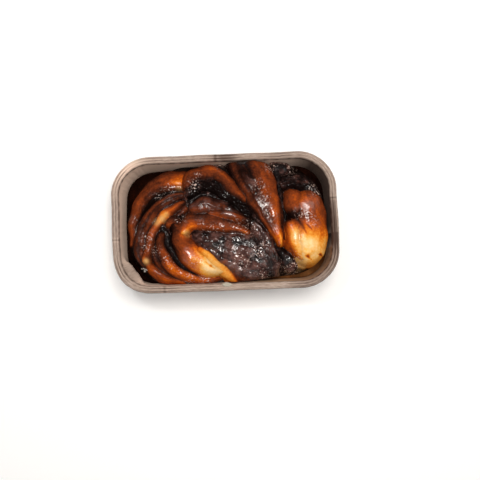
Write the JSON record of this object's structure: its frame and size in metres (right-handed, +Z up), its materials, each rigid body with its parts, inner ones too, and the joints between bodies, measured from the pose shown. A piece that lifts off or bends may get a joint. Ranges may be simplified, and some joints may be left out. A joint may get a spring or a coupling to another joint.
{
  "type": "chocolate babka in a paper loaf case",
  "caption": "Twisted filled sweet loaf with a glossy glaze, baked in a rolled-rim paperboard loaf case.",
  "frame": {"origin": "middle of the underside of the case, on the surface that it stands on", "axes": "+X along the loaf towards its smooth golden end, +Y across it towards the far long side, +Z up"},
  "size_m": [0.158, 0.096, 0.0619],
  "materials": {
    "greige_paperboard": "matt pressed greige paperboard",
    "glazed_crust": "baked dough under a thin glossy glaze",
    "baked_chocolate_filling": "dark glossy baked filling"
  },
  "bodies": {
    "root": {"paper_case": "greige_paperboard", "loaf": "glazed_crust", "filling_left": "baked_chocolate_filling", "filling_arch": "baked_chocolate_filling", "filling_centre": "baked_chocolate_filling", "filling_right": "baked_chocolate_filling"}
  },
  "joints": []
}
